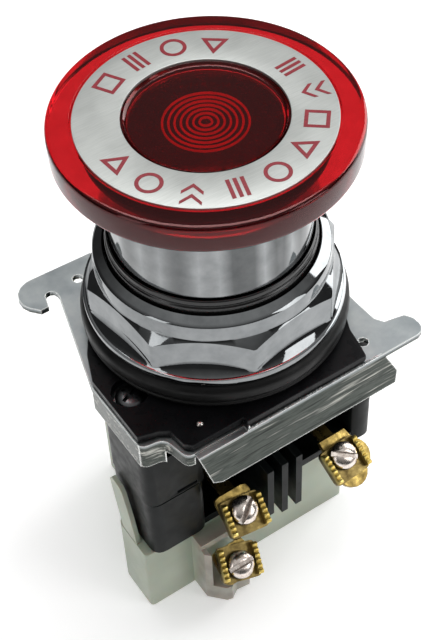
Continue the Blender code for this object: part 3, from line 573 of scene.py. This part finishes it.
def refined(name, node, mat, width, segments=3):
    """A piece with a CAD node's shape and its edges rounded off."""
    obj = bpy.data.objects.new(name, frame["nodes"][node].data.copy())
    bpy.context.scene.collection.objects.link(obj)
    obj.data.materials.clear()
    obj.data.materials.append(MATS[mat])
    return soften(obj, width, segments)


def standing(name, outline_yz, low_x, high_x, mat):
    """Extrude a (y, z) outline from low_x to high_x."""
    obj = prism(name, outline_yz, low_x, high_x, mat)
    turn = Matrix(((0, 0, 1, 0), (1, 0, 0, 0), (0, 1, 0, 0), (0, 0, 0, 1)))
    obj.data.transform(turn)
    return obj


def facing(name, outline_xz, low_y, high_y, mat):
    """Extrude an (x, z) outline from low_y to high_y."""
    obj = prism(name, outline_xz, -high_y, -low_y, mat)
    obj.data.transform(Matrix.Rotation(math.radians(90), 4, "X"))
    return obj


def moved(obj, matrix):
    obj.matrix_world = matrix
    return obj


def half_turned(matrix):
    return Matrix.Rotation(math.pi, 4, "Z") @ matrix


def place(piece, body, slot, *nodes):
    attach(piece, body)
    if nodes:
        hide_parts(*nodes)
    return piece


# ---- the head ---------------------------------------------------------------------------
def make_lens():
    """The red lens: recess for the legend ring and a sunk window."""
    window, under = HEAD_TOP - 0.55, HEAD_TOP - 1.9
    profile = round_corners([
        (0.0, window), (RING_IN - 0.75, window, 0.25), (RING_IN - 0.35, HEAD_TOP - 0.12, 0.1),
        (RING_IN - 0.3, HEAD_TOP - 0.8), (RING_OUT + 0.25, HEAD_TOP - 0.8),
        (RING_OUT + 0.3, HEAD_TOP - 0.02, 0.1), (HEAD_R, HEAD_TOP, 0.75),
        (HEAD_R, LENS_UNDER, 0.7), (STEM_R, LENS_UNDER, 0.3),
        (STEM_R, LENS_LOW.z, 0.2), (STEM_IN, LENS_LOW.z, 0.2), (STEM_IN, under, 0.3), (0.0, under)], 5)
    lens = lathe("lens", profile, "red_lens", 256, 25)
    place(lens, "head", "red_lens", "mushroom_lens")


def make_lens_rings():
    """Seven concentric steps moulded under the window."""
    pitch, count, wide = 0.87, 7, 0.17
    top = HEAD_TOP - 1.92
    for i in range(count):
        radius = pitch * (i + 1)
        profile = [(radius - wide, top - 0.26), (radius + wide, top - 0.26), (radius + wide * 0.4, top),
                   (radius - wide * 0.4, top)]
        step = lathe(f"lens_step_{i}", profile, "glowing_red_step", 128, 20)
        place(step, "head", "red_lens")


def make_washer():
    low, high = WASHER_LOW.z, WASHER_HIGH.z
    outer = WASHER_HIGH.x
    inner = STEM_R + 0.3
    profile = round_corners([(outer, high, 0.3), (outer, low, 0.3), (inner, low), (inner, high)])
    washer = lathe("lens_washer", profile, "rubber", 160)
    place(washer, "head", "rubber", "lens_seal")


def make_ring():
    top = HEAD_TOP - 0.03
    profile = round_corners([(RING_OUT, top, 0.08), (RING_OUT, top - 0.45), (RING_IN, top - 0.45),
                             (RING_IN, top, 0.08)], 3)
    ring = lathe("legend_plate", profile, "legend_plate", 256)
    place(ring, "head", "legend_plate", "legend_ring")


def mark_frame(angle, radius):
    """A mark's own axes on the ring: local y points away from the centre."""
    a = math.radians(angle)
    out = Vector((math.cos(a), math.sin(a)))
    along = Vector((math.sin(a), -math.cos(a)))
    centre = out * radius
    return lambda x, y: tuple(centre + along * x + out * y)


def ring_mark(at, height, stroke):
    loops = [[at(x, y) for x, y in circle(radius, count=40)] for radius in (height / 2, height / 2 - stroke)]
    return [(loops[0], [loops[1]])]


def polygon_mark(at, corners, height, stroke, turn):
    """A regular outline with a parallel inner edge."""
    r = height / 2 / (math.cos(math.pi / corners) if corners == 4 else 0.93)
    loops = []
    for radius in (r, r - stroke / math.cos(math.pi / corners)):
        steps = [math.tau * i / corners + turn for i in range(corners)]
        loops.append([at(radius * math.cos(a), radius * math.sin(a)) for a in steps])
    return [(loops[0], [loops[1]])]


def bars_mark(at, height, stroke):
    """Three parallel radial bars, 1 mm apart."""
    result = []
    for x in (-1.0, 0.0, 1.0):
        corners = ((x - stroke / 2, -height / 2), (x + stroke / 2, -height / 2),
                   (x + stroke / 2, height / 2), (x - stroke / 2, height / 2))
        result.append(([at(*corner) for corner in corners], []))
    return result


def chevron_mark(at, height, stroke):
    """Two stacked arrow heads that point to the centre of the button."""
    result = []
    w, h = 1.5, 1.45
    for k in (-1, 1):
        y = k * height / 4 - h / 2 + 0.2
        result.append(([at(0, y), at(w, y + h), at(w, y + h + stroke * 1.1), at(0, y + stroke * 1.25),
                        at(-w, y + h + stroke * 1.1), at(-w, y + h)], []))
    return result


def make_marks():
    """Printed signs without letters, in the two groups and at the size of the printed legend."""
    height, stroke, radius = 3.9, 0.57, 15.35
    groups = [(["square", "bars", "ring", "triangle"], 119, -22.5),
              (["bars", "chevron", "square", "triangle", "ring", "bars", "chevron", "ring",
                "triangle"], 5, -22.5)]
    number = 0
    for kinds, start, step in groups:
        for i, kind in enumerate(kinds):
            at = mark_frame(start + step * i, radius)
            if kind == "ring":
                shapes = ring_mark(at, height, stroke)
            elif kind == "square":
                shapes = polygon_mark(at, 4, height * 0.92, stroke, math.pi / 4)
            elif kind == "triangle":
                shapes = polygon_mark(at, 3, height * 1.12, stroke, -math.pi / 2)
            elif kind == "bars":
                shapes = bars_mark(at, height * 0.95, stroke)
            else:
                shapes = chevron_mark(at, height, stroke)
            for k, (outer, holes) in enumerate(shapes):
                mark = prism(f"mark_{number}_{k}", outer, HEAD_TOP - 0.045, HEAD_TOP - 0.005,
                             "legend_ink", holes)
                place(mark, "head", "legend_plate")
            number += 1


def make_skirt():
    low, high = SKIRT_LOW.z, SKIRT_HIGH.z
    profile = round_corners([(SKIRT_R, high, 0.5), (SKIRT_R, low, 0.6), (SKIRT_IN, low, 0.2),
                             (SKIRT_IN, high, 0.2)])
    skirt = lathe("skirt", profile, "chrome_with_painted_bands", 256)
    place(skirt, "head", "chrome", "plunger_skirt")


# ---- seal, nut and gasket ---------------------------------------------------------------
def make_wiper():
    """Rubber wiper with a soft fold, rising from the nut's rim to the skirt."""
    outer, inner = SEAL_HIGH.x, SKIRT_R + 0.16
    low, high = SEAL_LOW.z, SEAL_HIGH.z
    profile = round_corners([
        (outer, low), (inner + 0.1, low), (inner + 0.1, high - 1.0), (inner, high - 0.4, 0.2),
        (inner + 0.04, high, 0.08), (inner + 0.30, high - 0.18, 0.12), (outer - 0.22, high - 0.85, 0.25),
        (outer - 0.30, high - 1.15, 0.12), (outer - 0.06, high - 1.35, 0.15), (outer, high - 2.1, 0.2)], 5)
    wiper = lathe("wiper", profile, "wet_rubber", 192, 50)
    place(wiper, "base", "rubber", "wiper_seal")


def make_nut():
    """Flanged octagonal nut: flats between a cone at the top and a scooped foot on the flange."""
    sides, phase = 8, math.radians(29.2)
    step = math.tau / sides
    flange_r, corner_r, collar_r, foot_r = NUT_HIGH.x, 19.78, COLLAR_R, 19.95
    apothem = 19.86 * math.cos(math.pi / sides)
    top, rim_r = NUT_HIGH.z, SEAL_HIGH.x + 0.3

    def profile_at(a):
        phi = (a - phase) % step - step / 2
        r = min(apothem / math.cos(phi), corner_r)
        high = 7.62 - 0.84 * (r - collar_r)
        low = 1.35 + 1.25 * max(0.0, 19.9 - r)
        return [(NUT_BORE, 0.0), (NUT_BORE, 4.9), (rim_r, 4.95), (rim_r, top - 0.25),
                (rim_r + 0.04, top - 0.08), (rim_r + 0.16, top),
                (collar_r - 0.52, top - 0.66), (collar_r - 0.20, top - 0.86), (collar_r - 0.05, top - 1.06),
                (collar_r, top - 1.35), (collar_r, 7.95), (collar_r + 0.02, 7.75), (collar_r + 0.08, 7.60),
                (r - 0.10, high + 0.07), (r - 0.03, high - 0.01), (r, high - 0.12),
                (r, low + 0.14), (r + 0.03, low + 0.03),
                (r + (foot_r - r) * 0.35 + 0.01, low - (low - 1.35) * 0.55),
                (foot_r, 1.32), (flange_r - 0.22, 1.28), (flange_r - 0.05, 1.18), (flange_r, 0.98),
                (flange_r, 0.35), (flange_r - 0.08, 0.1), (flange_r - 0.3, 0.0)]

    angles = []
    per_side = 26
    for side in range(sides):
        for i in range(per_side):
            t = math.sin(math.pi / 2 * (2 * i / per_side - 1))
            angles.append(phase + step * (side + 0.5 + t / 2))
    nut = swept("nut", profile_at, angles, "chrome", 24)
    place(nut, "base", "chrome", "retaining_nut")


def make_gasket():
    outer, low, high = GASKET_HIGH.x, GASKET_LOW.z, GASKET_HIGH.z
    profile = round_corners([
        (outer - 0.9, high, 0.5), (outer - 0.1, high - 0.8, 0.5), (outer, high - 2.3, 0.6),
        (outer - 0.35, high - 2.95, 0.2), (outer - 0.1, high - 3.3, 0.3),
        (outer - 0.35, low + 0.35, 0.3), (outer - 1.1, low, 0.4), (GASKET_IN, low),
        (GASKET_IN, high)], 5)
    gasket = lathe("gasket", profile, "rubber", 192, 50)
    place(gasket, "base", "rubber", "panel_gasket")


# ---- operator base and latch plate ------------------------------------------------------
def make_carrier_plate():
    """The black base that fills the latch plate, with a bright rivet near its corner."""
    carrier = refined("base_moulding", "operator_base", "black_plastic", 0.35)
    place(carrier, "base", "black_plastic", "operator_base")
    rivet = lathe("rivet", [(0, 0.42), (0.3, 0.36), (0.52, 0.18), (0.6, -0.1), (0, -0.1)], "bright_steel", 32)
    moved(rivet, Matrix.Translation(Vector((-14.9, -18.1, CARRIER_HIGH.z - 0.02)) * MM))
    place(rivet, "base", "plated_steel")


def make_plate():
    plate = refined("latch_plate_folded", "latch_plate", "plated_steel", 0.28)
    place(plate, "base", "plated_steel", "latch_plate")
    rng = random.Random(5)
    left, right, y = -9.0, 16.0, PLATE_LOW.y + 1.05
    x, top = left, [(left, 0.0), (left, 0.75), (left + 0.22, 0.8), (left + 0.3, 0.1)]
    while x < right - 1.2:
        x += rng.uniform(0.35, 0.95)
        height = rng.uniform(0.02, 0.24)
        top += [(x, height), (x + 0.12, height + 0.04), (x + 0.2, 0.02)]
    top.append((right, 0.0))
    base_z = PLATE_HIGH.z
    outline = [(px, base_z + pz) for px, pz in top] + [(right, base_z - 0.4), (left, base_z - 0.4)]
    burr = facing("sheared_edge", outline, y, y + 0.16, "plated_steel")
    place(burr, "base", "plated_steel")


def make_ear_screws():
    """Cross-slotted screws sunk in their pockets, their plating coloured dark as painted shade."""
    for tag, flip in (("front", False), ("back", True)):
        low = node_mm(f"ear_screw_{tag}")[0].z
        top = CARRIER_HIGH.z - 0.55
        seat = PLATE_HIGH.z + 0.05
        profile = [(0, top - 0.1), (1.2, top - 0.06), (2.05, top - 0.35), (2.4, top - 0.75),
                   (2.4, seat), (1.5, seat), (1.5, low), (0, low)]
        # The dark steel here is painted shade on plated screws.
        screw = lathe(f"ear_screw_{tag}_turned", profile, "dark_steel", 48)
        for angle in (20, 110):
            slot = box("slot", (-1.6, -0.3, top - 0.7), (1.6, 0.3, top + 1), "dark_steel")
            slot.data.transform(Matrix.Rotation(math.radians(angle), 4, "Z"))
            carve(screw, slot)
        at = Matrix.Translation(Vector((*EAR_SCREW, 0)) * MM)
        moved(screw, half_turned(at) if flip else at)
        place(screw, "base", "plated_steel", f"ear_screw_{tag}")


# ---- light unit and contact block -------------------------------------------------------
def make_housings():
    cover = refined("cover_moulding", "light_unit_cover", "phenolic", 0.4)
    seam_low, seam_high = COVER_LOW.z + 0.35, COVER_LOW.z + 1.15
    notch = box("seam_notch", (-18.6, COVER_LOW.y - 1, seam_low),
                (-14.9, COVER_LOW.y + 0.35, seam_high), "phenolic")
    carve(cover, notch)
    place(cover, "base", "phenolic", "light_unit_cover")
    unit = refined("unit_moulding", "light_unit_base", "phenolic", 0.35)
    place(unit, "base", "phenolic", "light_unit_base")
    block = refined("contact_moulding", "contact_block", "clear_plastic", 0.45, 4)
    place(block, "base", "clear_plastic", "contact_block")


# ---- wire clamps ------------------------------------------------------------------------
def clamp_matrix(tag):
    """The clamp's own frame: its Z is the screw's axis and its -Y runs down the slope."""
    at = (Matrix.Translation(Vector(CLAMP_SPOTS[tag]) * MM) @ Matrix.Rotation(CLAMP_TILT, 4, "X")
          @ Matrix.Rotation(math.radians(CLAMP_TURNS[tag]), 4, "Z"))
    return half_turned(at) if tag == "back" else at


def toothed_edge(low_y, high_y, low_z, high_z, teeth, depth):
    """A (y, z) outline with a saw-toothed top."""
    pitch = (high_y - low_y) / teeth
    outline = [(low_y, low_z)]
    for i in range(teeth):
        y = low_y + i * pitch
        outline += [(y, high_z - depth), (y + pitch * 0.35, high_z), (y + pitch * 0.6, high_z)]
    return outline + [(high_y, high_z - depth), (high_y, low_z)]


def make_clamps():
    """Saddles with two toothed wings under slotted screws, above each terminal strip."""
    x, y, wing = 3.5, 3.1, 0.9
    for tag in CLAMP_SPOTS:
        low, high = SADDLE_SHIFTS[tag] - y, SADDLE_SHIFTS[tag] + y
        plan = round_corners([(-x, low, 0.9), (x, low, 0.9), (x, high, 0.9), (-x, high, 0.9)])
        saddle = prism(f"saddle_plate_{tag}", plan, -0.5, 0.5, "brass", [circle(1.9)])
        edge = toothed_edge(low + 0.4, high - 0.4, 0.1, 1.9, 6, 0.3)
        wings = [standing(f"wing_{k}", edge, inner, inner + wing, "brass")
                 for k, inner in enumerate((-x, x - wing))]
        carve(saddle, *wings, operation="UNION")
        soften(saddle, 0.13, 2)
        moved(saddle, clamp_matrix(tag))
        place(saddle, "base", "brass", f"saddle_{tag}")
        head = [(0, 2.70), (0.9, 2.66), (1.6, 2.48), (2.1, 2.10), (2.36, 1.55), (2.4, 1.1),
                (2.25, 0.82), (1.6, 0.8), (1.6, -3.0), (0, -3.0)]
        screw = lathe(f"screw_{tag}", head, "screw_steel", 64)
        slot = box("slot", (-3, -0.42, 1.55), (3, 0.42, 4), "screw_steel")
        slot.data.transform(Matrix.Rotation(math.radians(SLOT_ANGLES[tag]), 4, "Z"))
        carve(screw, slot)
        soften(screw, 0.08, 2)
        moved(screw, clamp_matrix(tag))
        place(screw, "base", "bright_steel", f"clamp_screw_{tag}")
    for node in ("terminal_strip_x1", "terminal_strip_x2", "fixed_contact_front", "fixed_contact_back"):
        strip = refined(f"{node}_stamped", node, "strip_brass", 0.15, 2)
        place(strip, "base", "brass", node)


def make_spring():
    """The contact spring, built as a fixed coil of round wire that does not shorten as the head is pressed.
    """
    turns, per_turn, sides, wire = 4.5, 32, 8, 0.3
    low, high = SPRING_LOW.z, SPRING_HIGH.z
    radius = SPRING_HIGH.x - wire
    count = int(turns * per_turn)
    verts = []
    for i in range(count + 1):
        a = math.tau * i / per_turn
        z = low + wire + (high - low - 2 * wire) * i / count
        for k in range(sides):
            b = math.tau * k / sides
            r = radius + wire * math.cos(b)
            verts.append((r * math.cos(a), r * math.sin(a), z + wire * math.sin(b)))
    faces = [list(range(sides)), [count * sides + k for k in range(sides)]]
    for i in range(count):
        for k in range(sides):
            one, two, j = i * sides, (i + 1) * sides, (k + 1) % sides
            faces.append([one + k, one + j, two + j, two + k])
    spring = new_object("spring", verts, faces, "spring_steel", 60)
    place(spring, "base", "spring_steel", "contact_spring")
    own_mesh(spring)


# ---- plain CAD nodes keep their shape and take a finished material -----------------------
def dress_nodes():
    slots = {part["node"]: part["material_slot"] for part in frame["record"]["subparts"]}
    for name, node in frame["nodes"].items():
        node.data.materials.clear()
        node.data.materials.append(MATS[slots[name]])


# ---- stage ------------------------------------------------------------------------------
def make_stage():
    floor_z = CAD_BOX[0][2] - 0.00005
    mesh = bpy.data.meshes.new("floor")
    size = 3.0
    corners = [(x, y, floor_z) for x, y in ((-size, -size), (size, -size), (size, size), (-size, size))]
    mesh.from_pydata(corners, [], [(0, 1, 2, 3)])
    floor = bpy.data.objects.new("floor", mesh)
    bpy.context.scene.collection.objects.link(floor)
    paper = Surface("floor_paper", Roughness=0.9, Emission_Color=(1, 1, 1, 1), Emission_Strength=0.30)
    paper.drive(Base_Color=paper.ramp(paper.noise(0.02, 3), (0.3, 0.93), (0.7, 0.95)))
    mesh.materials.append(paper.mat)


def area_light(name, place_mm, aim_mm, size_mm, power):
    light = bpy.data.lights.new(name, "AREA")
    light.shape = "RECTANGLE"
    light.size, light.size_y = size_mm[0] * MM, size_mm[1] * MM
    light.energy = power
    obj = bpy.data.objects.new(name, light)
    obj.location = Vector(place_mm) * MM
    obj.rotation_euler = (Vector(aim_mm) - Vector(place_mm)).to_track_quat("-Z", "Y").to_euler()
    bpy.context.scene.collection.objects.link(obj)


def make_lights():
    area_light("top_softbox", (60, 100, 440), (0, 0, 0), (300, 260), 1.3)
    area_light("right_softbox", (450, 20, 200), (0, 0, 0), (300, 420), 1.7)
    area_light("front_softbox", (270, -380, 250), (0, 0, 0), (210, 300), 0.6)
    area_light("left_softbox", (-420, -60, 150), (0, 0, -10), (120, 320), 0.25)
    world = bpy.data.worlds.new("studio")
    bpy.context.scene.world = world
    world.use_nodes = True
    tree = world.node_tree
    coords = tree.nodes.new("ShaderNodeTexCoord")
    split = tree.nodes.new("ShaderNodeSeparateXYZ")
    ramp = tree.nodes.new("ShaderNodeValToRGB")
    elements = ramp.color_ramp.elements
    elements[0].position, elements[0].color = 0.0, (0.05, 0.05, 0.052, 1)
    elements[1].position, elements[1].color = 1.0, (0.70, 0.70, 0.70, 1)
    for position, grey in ((0.35, 0.06), (0.6, 0.20)):
        elements.new(position).color = (grey, grey, grey, 1)
    tree.links.new(coords.outputs["Generated"], split.inputs[0])
    tree.links.new(split.outputs["Z"], ramp.inputs["Fac"])
    tree.links.new(ramp.outputs["Color"], tree.nodes["Background"].inputs["Color"])
    tree.nodes["Background"].inputs["Strength"].default_value = 1.0


def make_camera():
    """The photograph's view: from the front left and above, with a slight roll."""
    data = bpy.data.cameras.new("camera")
    data.lens, data.sensor_width = 80.1, 36.0
    camera = bpy.data.objects.new("camera", data)
    bpy.context.scene.collection.objects.link(camera)
    forward = Vector((0.3478, 0.5567, -0.7544)).normalized()
    level = forward.cross(Vector((0, 0, 1))).normalized()
    rise = level.cross(forward)
    roll = math.radians(-2.72)
    right = level * math.cos(roll) + rise * math.sin(roll)
    up = rise * math.cos(roll) - level * math.sin(roll)
    turn = Matrix((right, up, -forward)).transposed().to_4x4()
    camera.matrix_world = Matrix.Translation((-0.0786, -0.1273, 0.1633)) @ turn
    data.clip_start = 0.01
    bpy.context.scene.camera = camera


def main():
    bpy.context.scene.view_settings.view_transform = "Standard"
    make_camera()
    make_stage()
    make_lights()
    dress_nodes()
    make_lens()
    make_lens_rings()
    make_washer()
    make_ring()
    make_marks()
    make_skirt()
    make_wiper()
    make_nut()
    make_gasket()
    make_carrier_plate()
    make_plate()
    make_ear_screws()
    make_housings()
    make_clamps()
    make_spring()


main()
